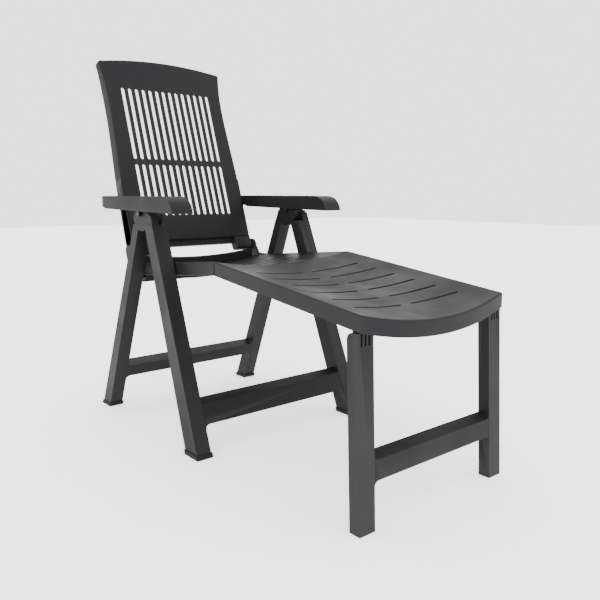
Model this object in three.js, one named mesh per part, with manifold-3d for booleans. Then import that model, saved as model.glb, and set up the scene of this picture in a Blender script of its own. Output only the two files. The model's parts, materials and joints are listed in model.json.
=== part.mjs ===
// A folding resin sun lounger: reclining armchair with a hook-on footrest, built from named pieces.
// Millimetres, +Z up, floor at z = 0, the sitter faces -Y, X runs across the seat.
import * as THREE from 'three';
import Module from 'manifold-3d';
import { mergeVertices, toCreasedNormals } from 'three/addons/utils/BufferGeometryUtils.js';

const wasm = await Module();
wasm.setup();

// ---- Driving dimensions ----------------------------------------------------------------------
const SHEET = 4; // moulded skin of the seat, back and footrest
const RIB = 3; // stiffening ribs under the skins
const RIM_DEPTH = 36; // skirt round the seat and the footrest
const TOUCH_GAP = 0.3; // between pieces that touch
const RUNNING_GAP = 0.3; // radial, between a pin and its hole
const SWING_GAP = 3.5; // between the footrest and the seat, which tips past it

const SEAT_HALF_WIDTH = 233;
const SEAT_FRONT_Y = -98;
const SEAT_REAR_Y = 352;
const SEAT_FRONT_TOP_Z = 509.6;
const SEAT_FALL = 0.089; // drop per mm towards the back
const SEAT_DISH = 27; // how far the middle lies below the sides
const FRONT_EDGE_BOW = 36; // the seam with the footrest bows back at the middle
const SEAT_SLOT_ROWS = 5;
const SEAT_SLOT_FIRST_Y = 20;
const LIP_TOP_Z = SEAT_FRONT_TOP_Z - 34.6; // upturned rear edge of the seat, at its middle
const LIP_RISE = 14; // how much higher it is at its ends
const LIP_THICKNESS = 12;
const EAR_THICKNESS = 10;
const EAR_RADIUS = 20;

const FOOTREST_LENGTH = 515.5; // along Y at the sides
const FOOTREST_FALL = 0.118; // drop per mm towards the foot
const FOOTREST_FRONT_BOW = 18;
const FOOTREST_SLOT_ROWS = 6;
const FOOTREST_SLOT_FIRST_Y = -195;
const SLOT_PITCH = 68;
const SLOT_WIDTH = 8;
const SLOT_INNER_X = 20;
const SLOT_OUTER_X = 170;
const SLOT_BOW = 10;
const HOOK_WIDTH = 28;
const HOOK_X = 108;
const HOOK_THICKNESS = 5;
const HOOK_DROP = 8;
const HOOK_REACH = 26; // depth of the notch behind the seat's front edge

const BACK_HALF_WIDTH = SEAT_HALF_WIDTH - 15; // at the armrests and below
const BACK_LENGTH = 588; // front face, bottom edge to top corners
const BACK_WAIST_HALF_WIDTH = BACK_HALF_WIDTH - 9.5;
const BACK_WAIST_HEIGHT = BACK_LENGTH - 136;
const BACK_TOP_HALF_WIDTH = BACK_HALF_WIDTH + 3;
const BACK_ARCH = 18;
const BACK_CORNER = 8;
const BACK_RIM_LOW = 48; // depth of the rim at its foot
const BACK_RIM_MIDDLE = 39.5;
const BACK_RIM_TOP = 18;
const BACK_RIM_TAPER_LOW = 300; // the rim deepens below this height
const BACK_RIM_TAPER_HIGH = BACK_LENGTH - 98; // and thins above this one
const BACK_FOOT_DROP = 8; // the rim's foot falls this far from front to rear
const SLAT_THICKNESS = 7;
const BACK_LEAN = 18.4; // degrees from upright
const BACK_SLOTS = 14;
const BACK_SLOT_PITCH = 23.8;
const BACK_SLOT_WIDTH = 12.5;
const BACK_SLOT_LOWER = [81, 250.5]; // along the face, from its bottom edge
const BACK_SLOT_UPPER = [267, BACK_LENGTH - 83];
const BACK_LUG_RADIUS = 17;
const BACK_LUG_INNER_X = BACK_HALF_WIDTH - 62;
const BACK_RAIL_FRONT = 10; // the rail under the back: how far behind the face
const BACK_RAIL_DEPTH = 16;
const BACK_RAIL_DROP = 19; // and how far it reaches below the face
const BACK_FACE_SETBACK = 8.5; // from the hinge axis forward to the face

const HINGE = { y: SEAT_REAR_Y + 33, z: SEAT_FRONT_TOP_Z - 9.6 }; // backrest to seat
const HINGE_TO_FACE = 28.5; // hinge axis to the bottom edge of the face, along the face
const HINGE_PIN_RADIUS = 6;
const APEX = { y: 202, z: SEAT_FRONT_TOP_Z + 110.4 }; // front leg to rear leg
const HUB_RADIUS = 36;
const HEAD_RADIUS = 48; // of the lapped heads where the legs cross
const HEAD_TO_ARM = 2; // from the heads' flat tops to the armrest's underside
const APEX_PIN_RADIUS = 7;
const SEAT_PIVOT = { y: 118, z: SEAT_FRONT_TOP_Z - 37.6 }; // seat to front leg
const PIVOT_PIN_RADIUS = 6;

const ARM_INNER_X = BACK_HALF_WIDTH + 10.5;
const ARM_WIDTH = 61.5;
const ARM_FRONT_Y = 2;
const ARM_REAR_Y = 460; // 14 behind its pivot
const ARM_UNDER_Z = APEX.z + 4;
const ARM_HEIGHT = 44;
const ARM_NOSE = 58; // length of the rounded front end
const ARM_WALL = 3.5;
const ARM_PIVOT = { y: 446, z: ARM_UNDER_Z + 24 }; // armrest to backrest
const ARM_PIN_RADIUS = 5;
const RACK_THICKNESS = 5;
const RACK_PITCH = 17.5;
const RACK_NOTCHES = 5;

const FOOT_HEIGHT = 12;
const FOOT_WALL = 3;
const LEG_WALL = 4;
const FRONT_LEG = {
  x: SEAT_HALF_WIDTH + 37.4,
  width: 42.5,
  splay: -0.0235,
  front: [-97, 0.395],
  rear: [-37, 0.372],
};
const REAR_LEG = {
  x: SEAT_HALF_WIDTH + 28.7,
  width: 40.5,
  splay: -0.0135,
  front: [463, -0.408],
  rear: [514, -0.437],
};
const FOOTREST_LEG = {
  x: SEAT_HALF_WIDTH - 15,
  width: 44,
  splay: -0.0112,
  front: [-630, 0.0483],
  rear: [-600, 0.0483],
};
const FRONT_BAR = { low: 78, high: 128, rise: 10, depth: 34 };
const REAR_BAR = { low: 101, high: 139, rise: 12, depth: 42 };
const FOOTREST_BAR = { low: 104, high: 148, rise: 12, depth: 27 };
const GUSSET = 14;
const PEG_RADIUS = 6.5;
const PEG_Y = 300;
const FOOTREST_PIN_RADIUS = 4;
const FOOTREST_KNUCKLE_RADIUS = 15;
const FOOTREST_LUG_RADIUS = 9;
const FOOTREST_LUG_WIDTH = 4;
const FOOTREST_LUG_PITCH = 10.5;
const FOLDED_LEG_GAP = 1.5; // under the skirt when the footrest's legs lie flat

// ---- Materials -------------------------------------------------------------------------------
function plastic(color, roughness) {
  return new THREE.MeshStandardMaterial({ color, roughness, metalness: 0 });
}

const RESIN = plastic(0x3c3b3e, 0.55);
const DARK_RESIN = plastic(0x29292b, 0.6);
const STEEL = new THREE.MeshStandardMaterial({ color: 0x2b2c2f, roughness: 0.45, metalness: 0.8 });

// ---- Solids ----------------------------------------------------------------------------------
const ALONG_X = new THREE.Matrix4().makeBasis(
  new THREE.Vector3(0, 1, 0),
  new THREE.Vector3(0, 0, 1),
  new THREE.Vector3(1, 0, 0),
);
const ALONG_MINUS_Y = new THREE.Matrix4().makeBasis(
  new THREE.Vector3(1, 0, 0),
  new THREE.Vector3(0, 0, 1),
  new THREE.Vector3(0, -1, 0),
);

function solid(geometry) {
  geometry.deleteAttribute('normal');
  geometry.deleteAttribute('uv');
  const merged = mergeVertices(geometry, 1e-4);
  const mesh = new wasm.Mesh({
    numProp: 3,
    vertProperties: new Float32Array(merged.attributes.position.array),
    triVerts: new Uint32Array(merged.index.array),
  });
  return new wasm.Manifold(mesh);
}

function union(solids) {
  return solids.reduce((whole, next) => whole.add(next));
}

function without(body, cuts) {
  return cuts.reduce((rest, cut) => rest.subtract(cut), body);
}

function extrude(shape, depth, segments = 12) {
  return new THREE.ExtrudeGeometry(shape, { depth, bevelEnabled: false, curveSegments: segments });
}

// A side view in (y, z), made into a plate from x0 to x1.
function sidePlate(shape, x0, x1, segments) {
  const geometry = extrude(shape, x1 - x0, segments);
  geometry.applyMatrix4(ALONG_X);
  geometry.translate(x0, 0, 0);
  return solid(geometry);
}

// A front view in (x, z), carried from y1 back down to y0.
function frontPlate(shape, y0, y1, segments) {
  const geometry = extrude(shape, y1 - y0, segments);
  geometry.applyMatrix4(ALONG_MINUS_Y);
  geometry.translate(0, y1, 0);
  return solid(geometry);
}

// A plan view in (x, y), raised from z0 to z1.
function planPlate(shape, z0, z1, segments) {
  const geometry = extrude(shape, z1 - z0, segments);
  geometry.translate(0, 0, z0);
  return solid(geometry);
}

function block(x0, x1, y0, y1, z0, z1) {
  const geometry = new THREE.BoxGeometry(x1 - x0, y1 - y0, z1 - z0);
  geometry.translate((x0 + x1) / 2, (y0 + y1) / 2, (z0 + z1) / 2);
  return solid(geometry);
}

// A round bar across the lounger, from x0 to x1, about the axis at (y, z).
function crossPin(radius, x0, x1, at, segments = 28) {
  const geometry = new THREE.CylinderGeometry(radius, radius, x1 - x0, segments);
  geometry.rotateZ(Math.PI / 2);
  geometry.translate((x0 + x1) / 2, at.y, at.z);
  return solid(geometry);
}

function polygon(points) {
  return new THREE.Shape(points.map(([x, y]) => new THREE.Vector2(x, y)));
}

function mirrored(body) {
  return body.mirror([1, 0, 0]);
}

function bothSides(body) {
  return body.add(mirrored(body));
}

function named(name, body, material) {
  const raw = body.getMesh();
  const geometry = new THREE.BufferGeometry();
  geometry.setAttribute('position', new THREE.BufferAttribute(raw.vertProperties, 3));
  geometry.setIndex(new THREE.BufferAttribute(raw.triVerts, 1));
  const mesh = new THREE.Mesh(toCreasedNormals(geometry, Math.PI / 5), material);
  mesh.name = name;
  return mesh;
}

// The same piece on both sides of the lounger; the sitter's left is +X.
function namedPair(name, leftBody, material) {
  return [named(`${name}_left`, leftBody, material), named(`${name}_right`, mirrored(leftBody), material)];
}

// ---- Dished skins ----------------------------------------------------------------------------
// A layer of the dished surface between two depths below its top, falling along Y.
function dishedLayer(skin, upper, lower) {
  const w = skin.halfWidth;
  const shape = new THREE.Shape();
  shape.moveTo(-w, -upper);
  shape.lineTo(-w, -lower);
  shape.quadraticCurveTo(0, -lower - 2 * skin.dish, w, -lower);
  shape.lineTo(w, -upper);
  shape.quadraticCurveTo(0, -upper - 2 * skin.dish, -w, -upper);
  const layer = extrude(shape, skin.y1 - skin.y0, 20);
  layer.applyMatrix4(ALONG_MINUS_Y);
  layer.translate(0, skin.y1, 0);
  const fall = new THREE.Matrix4().set(1, 0, 0, 0, 0, 1, 0, 0, 0, skin.fall, 1, skin.zAtOrigin, 0, 0, 0, 1);
  layer.applyMatrix4(fall);
  return solid(layer);
}

function skinHeight(skin, x, y) {
  return skin.zAtOrigin + skin.fall * y - skin.dish * (1 - (x / skin.halfWidth) ** 2);
}

// An outline with straight sides and bowed ends; a positive bow carries the middle towards +Y.
function bowedOutline(halfWidth, y0, bow0, y1, bow1) {
  const shape = new THREE.Shape();
  shape.moveTo(-halfWidth, y1);
  shape.lineTo(-halfWidth, y0);
  shape.quadraticCurveTo(0, y0 + 2 * bow0, halfWidth, y0);
  shape.lineTo(halfWidth, y1);
  shape.quadraticCurveTo(0, y1 + 2 * bow1, -halfWidth, y1);
  return shape;
}

// One drainage slot between two x positions, following a shallow arc.
function slotCut(y, x0, x1) {
  const half = SLOT_WIDTH / 2;
  const steps = 6;
  const middle = (x) => y + SLOT_BOW * (1 - (x / SLOT_OUTER_X) ** 2);
  const front = [];
  const back = [];
  for (let i = 0; i <= steps; i += 1) {
    const x = x0 + ((x1 - x0) * i) / steps;
    front.push([x, middle(x) - half]);
    back.unshift([x, middle(x) + half]);
  }
  const inner = [x0 - half, middle(x0)];
  const outer = [x1 + half, middle(x1)];
  return planPlate(polygon([...front, outer, ...back, inner]), 350, 560);
}

function slotRows(firstY, pitch, rows) {
  const cuts = [];
  for (let row = 0; row < rows; row += 1) {
    cuts.push(bothSides(slotCut(firstY + row * pitch, SLOT_INNER_X, SLOT_OUTER_X)));
  }
  return union(cuts);
}

const skinLow = SEAT_FRONT_TOP_Z - 210;
const skinHigh = SEAT_FRONT_TOP_Z + 90;

// Ribs that run fore and aft beside the slots, and across between the rows.
function skinRibs(skin, crossYs) {
  const ribs = [];
  for (const x of [SLOT_INNER_X - SLOT_WIDTH, SLOT_OUTER_X + SLOT_WIDTH]) {
    ribs.push(bothSides(block(x - RIB / 2, x + RIB / 2, skin.y0, skin.y1, skinLow, skinHigh)));
  }
  for (const y of crossYs) {
    ribs.push(block(-skin.halfWidth, skin.halfWidth, y - RIB / 2, y + RIB / 2, skinLow, skinHigh));
  }
  return union(ribs).intersect(dishedLayer({ ...skin, dish: 0 }, -20, RIM_DEPTH));
}

// A skirted skin: a dished slab cut to its outline and hollowed from below, with its ribs left in.
function skirtedSkin(skin, outer, inner, crossYs) {
  const body = dishedLayer(skin, 0, RIM_DEPTH).intersect(planPlate(outer, skinLow, skinHigh));
  const hollow = dishedLayer(skin, SHEET, RIM_DEPTH + 20).intersect(planPlate(inner, skinLow, skinHigh));
  return body.subtract(hollow.subtract(skinRibs(skin, crossYs)));
}

// ---- Seat ------------------------------------------------------------------------------------
const seatSkin = {
  halfWidth: SEAT_HALF_WIDTH,
  dish: SEAT_DISH,
  fall: -SEAT_FALL,
  zAtOrigin: SEAT_FRONT_TOP_Z + SEAT_FALL * SEAT_FRONT_Y,
  y0: SEAT_FRONT_Y - 10,
  y1: SEAT_REAR_Y + 20,
};

function seatEar() {
  const shape = new THREE.Shape();
  const top = skinHeight(seatSkin, SEAT_HALF_WIDTH, SEAT_REAR_Y - 50);
  shape.moveTo(SEAT_REAR_Y - 50, top - RIM_DEPTH);
  shape.lineTo(HINGE.y + 2, HINGE.z - 50);
  shape.lineTo(HINGE.y + EAR_RADIUS, HINGE.z);
  shape.absarc(HINGE.y, HINGE.z, EAR_RADIUS, 0, Math.PI, false);
  shape.lineTo(SEAT_REAR_Y - 6, top);
  shape.lineTo(SEAT_REAR_Y - 50, top);
  return sidePlate(shape, SEAT_HALF_WIDTH - EAR_THICKNESS, SEAT_HALF_WIDTH, 16);
}

function seatLip() {
  const half = SEAT_HALF_WIDTH - EAR_THICKNESS - 19;
  const shape = new THREE.Shape();
  const low = skinHeight(seatSkin, 0, SEAT_REAR_Y) - RIM_DEPTH + 2;
  shape.moveTo(-half, low);
  shape.lineTo(half, low);
  shape.lineTo(half, LIP_TOP_Z + LIP_RISE);
  shape.quadraticCurveTo(0, LIP_TOP_Z - LIP_RISE, -half, LIP_TOP_Z + LIP_RISE);
  return frontPlate(shape, SEAT_REAR_Y - 2, SEAT_REAR_Y - 2 + LIP_THICKNESS, 12);
}

// The notch that lets a footrest hook over the seat's front wall, and its drop space behind it.
function hookNotch() {
  const half = HOOK_WIDTH / 2 + 2;
  const y = SEAT_FRONT_Y + FRONT_EDGE_BOW * (1 - (HOOK_X / SEAT_HALF_WIDTH) ** 2);
  const top = skinHeight(seatSkin, HOOK_X, y);
  const low = top - HOOK_THICKNESS - HOOK_DROP - 6;
  const over = block(
    HOOK_X - half, HOOK_X + half, y - 20, y + HOOK_REACH, top - HOOK_THICKNESS - 2, top + 20
  );
  const behind = block(HOOK_X - half, HOOK_X + half, y + SHEET + 5, y + HOOK_REACH, low, top + 20);
  return over.add(behind);
}

function seatBody() {
  const outer = bowedOutline(SEAT_HALF_WIDTH, SEAT_FRONT_Y, FRONT_EDGE_BOW, SEAT_REAR_Y, 0);
  const inner = bowedOutline(
    SEAT_HALF_WIDTH - SHEET, SEAT_FRONT_Y + SHEET, FRONT_EDGE_BOW, SEAT_REAR_Y - SHEET, 0);
  const crossYs = [];
  for (let row = 0; row < SEAT_SLOT_ROWS; row += 1) {
    crossYs.push(SEAT_SLOT_FIRST_Y + SLOT_PITCH * (row - 0.5) + SLOT_BOW / 2);
  }
  const bossRadius = PIVOT_PIN_RADIUS + 8;
  const boss = block(
    SEAT_HALF_WIDTH - 14, SEAT_HALF_WIDTH - 1,
    SEAT_PIVOT.y - bossRadius, SEAT_PIVOT.y + bossRadius, SEAT_PIVOT.z, SEAT_PIVOT.z + 40)
    .intersect(dishedLayer(seatSkin, 2, RIM_DEPTH))
    .add(crossPin(bossRadius, SEAT_HALF_WIDTH - 14, SEAT_HALF_WIDTH - 1, SEAT_PIVOT));
  const shell = skirtedSkin(seatSkin, outer, inner, crossYs);
  const body = union([shell, bothSides(seatEar()), seatLip(), bothSides(boss)]);
  return without(body, [
    slotRows(SEAT_SLOT_FIRST_Y, SLOT_PITCH, SEAT_SLOT_ROWS),
    bothSides(
      crossPin(PIVOT_PIN_RADIUS + RUNNING_GAP, SEAT_HALF_WIDTH - 12, SEAT_HALF_WIDTH + 5, SEAT_PIVOT)
    ),
    bothSides(crossPin(HINGE_PIN_RADIUS + RUNNING_GAP, SEAT_HALF_WIDTH - 33, SEAT_HALF_WIDTH - 3, HINGE)),
    bothSides(hookNotch()),
  ]);
}

// ---- Footrest --------------------------------------------------------------------------------
const footrestRearY = SEAT_FRONT_Y - SWING_GAP;
const footrestFrontY = footrestRearY - FOOTREST_LENGTH;
const footrestSkin = {
  halfWidth: SEAT_HALF_WIDTH,
  dish: SEAT_DISH,
  fall: FOOTREST_FALL,
  zAtOrigin: SEAT_FRONT_TOP_Z - FOOTREST_FALL * SEAT_FRONT_Y,
  y0: footrestFrontY - FOOTREST_FRONT_BOW - 10,
  y1: footrestRearY + FRONT_EDGE_BOW + 10,
};

function legMiddle(leg, z) {
  return (leg.front[0] + leg.front[1] * z + leg.rear[0] + leg.rear[1] * z) / 2;
}

const footrestPinDrop = RIM_DEPTH + FOOTREST_KNUCKLE_RADIUS + FOLDED_LEG_GAP;
const footrestPinZ = skinHeight(footrestSkin, SEAT_HALF_WIDTH, footrestFrontY) - footrestPinDrop;
const FOOTREST_PIVOT = { y: legMiddle(FOOTREST_LEG, footrestPinZ), z: footrestPinZ };
const footrestKnuckleX = FOOTREST_LEG.x + FOOTREST_LEG.splay * footrestPinZ;

// An arm over the seat's front wall, with a drop behind it.
function footrestHook() {
  const half = HOOK_WIDTH / 2;
  const wallY = SEAT_FRONT_Y + FRONT_EDGE_BOW * (1 - (HOOK_X / SEAT_HALF_WIDTH) ** 2);
  const top = skinHeight(seatSkin, HOOK_X, wallY) - 1;
  const reach = wallY + HOOK_REACH - 1;
  const shape = polygon([
    [wallY - 12, top],
    [wallY - 12, top - RIM_DEPTH / 2],
    [wallY - SWING_GAP - 1, top - RIM_DEPTH / 2],
    [wallY - SWING_GAP - 1, top - HOOK_THICKNESS],
    [reach - HOOK_THICKNESS, top - HOOK_THICKNESS],
    [reach - HOOK_THICKNESS, top - HOOK_THICKNESS - HOOK_DROP],
    [reach, top - HOOK_THICKNESS - HOOK_DROP],
    [reach, top],
  ]);
  return sidePlate(shape, HOOK_X - half, HOOK_X + half);
}

// Three plates under the skin that reach down between the leg's knuckles.
function footrestLugs(radius, width) {
  const plates = [];
  for (const step of [-1, 0, 1]) {
    const x = footrestKnuckleX + step * FOOTREST_LUG_PITCH;
    const x0 = x - width / 2;
    const x1 = x + width / 2;
    const stem = block(
      x0, x1, FOOTREST_PIVOT.y - radius, FOOTREST_PIVOT.y + radius, FOOTREST_PIVOT.z, FOOTREST_PIVOT.z + 60);
    plates.push(stem.add(crossPin(radius, x0, x1, FOOTREST_PIVOT)));
  }
  return union(plates);
}

function footrestBody() {
  const w = SEAT_HALF_WIDTH;
  const outer = bowedOutline(w, footrestFrontY, -FOOTREST_FRONT_BOW, footrestRearY, FRONT_EDGE_BOW);
  const inner = bowedOutline(
    w - SHEET, footrestFrontY + SHEET, -FOOTREST_FRONT_BOW, footrestRearY - SHEET, FRONT_EDGE_BOW);
  const crossYs = [];
  for (let row = 0; row < FOOTREST_SLOT_ROWS - 1; row += 1) {
    crossYs.push(FOOTREST_SLOT_FIRST_Y - SLOT_PITCH * (row + 0.5) + SLOT_BOW / 2);
  }
  const shell = skirtedSkin(footrestSkin, outer, inner, crossYs);
  const lugs = footrestLugs(FOOTREST_LUG_RADIUS, FOOTREST_LUG_WIDTH)
    .intersect(dishedLayer(footrestSkin, 2, RIM_DEPTH + 80));
  const body = union([shell, bothSides(footrestHook()), bothSides(lugs)]);
  return without(body, [
    slotRows(FOOTREST_SLOT_FIRST_Y, -SLOT_PITCH, FOOTREST_SLOT_ROWS),
    bothSides(
      crossPin(FOOTREST_PIN_RADIUS + RUNNING_GAP, SEAT_HALF_WIDTH - 63, SEAT_HALF_WIDTH + 27, FOOTREST_PIVOT)
    ),
  ]);
}

// ---- Legs ------------------------------------------------------------------------------------
function edgeY(edge, z) {
  return edge[0] + edge[1] * z;
}

function legSide(leg, z0, z1, inset, openRear) {
  const rear = openRear ? 10 : -inset;
  return polygon([
    [edgeY(leg.front, z0) + inset, z0],
    [edgeY(leg.rear, z0) + rear, z0],
    [edgeY(leg.rear, z1) + rear, z1],
    [edgeY(leg.front, z1) + inset, z1],
  ]);
}

// Leans a piece sideways, so that its x shifts with its height.
function splayed(body, splay) {
  return body.transform([1, 0, 0, 0, 0, 1, 0, 0, splay, 0, 1, 0, 0, 0, 0, 1]);
}

// A leg as a channel that is open at the back, with solid stretches between its bays.
function channelLeg(leg, z0, z1, bays) {
  const low = leg.x - leg.width / 2;
  const high = leg.x + leg.width / 2;
  const body = sidePlate(legSide(leg, z0, z1, 0, false), low, high);
  const pockets = bays.map(([a, b]) => sidePlate(
    legSide(leg, a, b, LEG_WALL, true), low + LEG_WALL, high - LEG_WALL));
  return splayed(without(body, pockets), leg.splay);
}

// The bar between two legs: upright front face, top that rises towards the back, gusseted ends.
function crossBar(leg, bar) {
  const reach = leg.x + leg.splay * bar.low - leg.width / 4;
  const inner = leg.x + leg.splay * bar.low - leg.width / 2;
  const inset = 0.5;
  const shape = polygon([
    [edgeY(leg.front, bar.low) + inset, bar.low],
    [edgeY(leg.front, bar.low) + bar.depth, bar.low],
    [edgeY(leg.front, bar.high) + bar.depth, bar.high + bar.rise],
    [edgeY(leg.front, bar.high) + inset, bar.high],
  ]);
  const pocket = polygon([
    [edgeY(leg.front, bar.low) + inset + LEG_WALL, bar.low - 5],
    [edgeY(leg.front, bar.low) + bar.depth - LEG_WALL, bar.low - 5],
    [edgeY(leg.front, bar.high) + bar.depth - LEG_WALL, bar.high + bar.rise - LEG_WALL - 2],
    [edgeY(leg.front, bar.high) + inset + LEG_WALL, bar.high - LEG_WALL],
  ]);
  const beam = sidePlate(shape, -reach, reach).subtract(sidePlate(pocket, -inner + GUSSET, inner - GUSSET));
  const gusset = gussets(leg, bar, inner);
  return beam.add(gusset);
}

// Concave fillets where the bar meets the legs.
function gussets(leg, bar, inner) {
  const shape = new THREE.Shape();
  shape.moveTo(inner + 6, bar.low - GUSSET);
  shape.lineTo(inner + 6, bar.high + GUSSET);
  shape.lineTo(inner, bar.high + GUSSET);
  shape.quadraticCurveTo(inner, bar.high, inner - GUSSET, bar.high);
  shape.lineTo(inner - GUSSET, bar.low);
  shape.quadraticCurveTo(inner, bar.low, inner, bar.low - GUSSET);
  shape.lineTo(inner + 6, bar.low - GUSSET);
  const tall = frontPlate(shape, leg.front[0] - 300, leg.rear[0] + 300, 6);
  const cover = sidePlate(polygon([
    [edgeY(leg.front, bar.low - GUSSET) + 0.5, bar.low - GUSSET],
    [edgeY(leg.front, bar.low - GUSSET) + bar.depth * 0.7, bar.low - GUSSET],
    [edgeY(leg.front, bar.high + GUSSET) + bar.depth * 0.7, bar.high + GUSSET],
    [edgeY(leg.front, bar.high + GUSSET) + 0.5, bar.high + GUSSET],
  ]), 0, 400);
  return bothSides(tall.intersect(cover));
}

// Half of the lap joint at the apex: the whole width of the crossing legs, rounded where it turns.
function hubHead(leg, x0, x1) {
  const low = APEX.z - HEAD_RADIUS * 2;
  const top = ARM_UNDER_Z - HEAD_TO_ARM;
  const crossing = polygon([
    [edgeY(FRONT_LEG.front, low), low],
    [edgeY(REAR_LEG.rear, low), low],
    [edgeY(REAR_LEG.rear, top), top],
    [edgeY(FRONT_LEG.front, top), top],
  ]);
  const head = sidePlate(crossing, x0, x1).intersect(crossPin(HEAD_RADIUS, x0, x1, APEX, 48));
  const neck = sidePlate(legSide(leg, low, top - 6, 0, false), x0, x1)
    .intersect(sidePlate(crossing, x0, x1));
  return union([head, neck, crossPin(HUB_RADIUS, x0, x1, APEX, 40)]);
}

const hubInnerX = SEAT_HALF_WIDTH + 2;
const hubOuterX = hubInnerX + 42;
const lapX = (hubInnerX + hubOuterX) / 2;
const hubClearance = 1.5;

function frontLegFrame() {
  const leg = channelLeg(FRONT_LEG, TOUCH_GAP + FOOT_WALL, APEX.z - 30, [[30, 430], [505, 550]]);
  const clear = crossPin(HEAD_RADIUS + hubClearance, hubInnerX - 35, lapX + TOUCH_GAP, APEX, 48);
  const side = union([leg.subtract(clear), hubHead(FRONT_LEG, lapX + TOUCH_GAP, hubOuterX)]);
  const holes = union([
    crossPin(APEX_PIN_RADIUS + RUNNING_GAP, hubInnerX - 15, hubOuterX + 23, APEX),
    crossPin(
      PIVOT_PIN_RADIUS + RUNNING_GAP, hubInnerX - 35, FRONT_LEG.x + FRONT_LEG.splay * SEAT_PIVOT.z, SEAT_PIVOT
    ),
  ]);
  return union([bothSides(side), crossBar(FRONT_LEG, FRONT_BAR)]).subtract(bothSides(holes));
}

const skirtFoot = skinHeight(seatSkin, SEAT_HALF_WIDTH - SHEET, PEG_Y + PEG_RADIUS) - RIM_DEPTH;
const seatRestZ = skirtFoot - TOUCH_GAP - PEG_RADIUS;
const REST_PEG = { y: PEG_Y, z: seatRestZ };

function rearLegFrame() {
  const leg = channelLeg(REAR_LEG, TOUCH_GAP + FOOT_WALL, APEX.z - 30, [[30, 395], [470, 550]]);
  const clear = crossPin(HEAD_RADIUS + hubClearance, lapX - TOUCH_GAP, hubOuterX + 23, APEX, 48);
  const side = union([leg.subtract(clear), hubHead(REAR_LEG, hubInnerX, lapX - TOUCH_GAP)]);
  const holes = union([
    crossPin(APEX_PIN_RADIUS + RUNNING_GAP, hubInnerX - 15, hubOuterX + 23, APEX),
    crossPin(PEG_RADIUS + RUNNING_GAP, hubInnerX - 35, REAR_LEG.x, REST_PEG),
  ]);
  return union([bothSides(side), crossBar(REAR_LEG, REAR_BAR)]).subtract(bothSides(holes));
}

// The spaces in the leg's head that the footrest's lugs turn in: open above, in front and behind.
function knuckleSlots() {
  const width = FOOTREST_LUG_WIDTH + 1;
  const slots = [];
  for (const step of [-1, 0, 1]) {
    const x = footrestKnuckleX + step * FOOTREST_LUG_PITCH;
    slots.push(
      block(x - width / 2, x + width / 2, -700, -500, FOOTREST_PIVOT.z - 12, FOOTREST_PIVOT.z + 40)
    );
  }
  return union(slots);
}

function footrestLegFrame() {
  const z = FOOTREST_PIVOT.z;
  const half = FOOTREST_LEG.width / 2;
  const leg = channelLeg(FOOTREST_LEG, 0, z, [[20, z - 30]]);
  const head = crossPin(
    FOOTREST_KNUCKLE_RADIUS, footrestKnuckleX - half, footrestKnuckleX + half, FOOTREST_PIVOT, 32
  );
  const brow = sidePlate(polygon([
    [edgeY(FOOTREST_LEG.front, z), z - 2],
    [FOOTREST_PIVOT.y, z - 2],
    [FOOTREST_PIVOT.y, z + FOOTREST_KNUCKLE_RADIUS],
    [edgeY(FOOTREST_LEG.front, z), z + FOOTREST_KNUCKLE_RADIUS],
  ]), footrestKnuckleX - half, footrestKnuckleX + half);
  const side = union([leg, head, brow]).subtract(knuckleSlots());
  const hole = crossPin(
    FOOTREST_PIN_RADIUS + RUNNING_GAP, SEAT_HALF_WIDTH - 83, SEAT_HALF_WIDTH - 4, FOOTREST_PIVOT
  );
  return union([bothSides(side), crossBar(FOOTREST_LEG, FOOTREST_BAR)]).subtract(bothSides(hole));
}

// A cap that the leg stands in, a little wider than the leg.
function legFoot(leg) {
  const grow = FOOT_WALL;
  const shape = polygon([
    [edgeY(leg.front, 0) - grow, 0],
    [edgeY(leg.rear, 0) + grow, 0],
    [edgeY(leg.rear, FOOT_HEIGHT) + grow, FOOT_HEIGHT],
    [edgeY(leg.front, FOOT_HEIGHT) - grow, FOOT_HEIGHT],
  ]);
  const low = leg.x - leg.width / 2;
  const high = leg.x + leg.width / 2;
  const cup = sidePlate(
    legSide(leg, FOOT_WALL, FOOT_HEIGHT + 5, -TOUCH_GAP, false), low - TOUCH_GAP, high + TOUCH_GAP
  );
  return splayed(sidePlate(shape, low - grow, high + grow).subtract(cup), leg.splay);
}

// ---- Backrest --------------------------------------------------------------------------------
// Built upright with its face on y = 0 and its bottom edge at z = 0, then leaned into place.
function leanedBack(body) {
  const lean = THREE.MathUtils.degToRad(BACK_LEAN);
  const y = HINGE.y + HINGE_TO_FACE * Math.sin(lean) - BACK_FACE_SETBACK * Math.cos(lean);
  const z = HINGE.z + HINGE_TO_FACE * Math.cos(lean) + BACK_FACE_SETBACK * Math.sin(lean);
  return body.rotate([-BACK_LEAN, 0, 0]).translate([0, y, z]);
}

function inBack(point) {
  const lean = THREE.MathUtils.degToRad(BACK_LEAN);
  const dy = point.y - HINGE.y;
  const dz = point.z - HINGE.z;
  return {
    y: dy * Math.cos(lean) - dz * Math.sin(lean) + BACK_FACE_SETBACK,
    z: dy * Math.sin(lean) + dz * Math.cos(lean) - HINGE_TO_FACE,
  };
}

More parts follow.
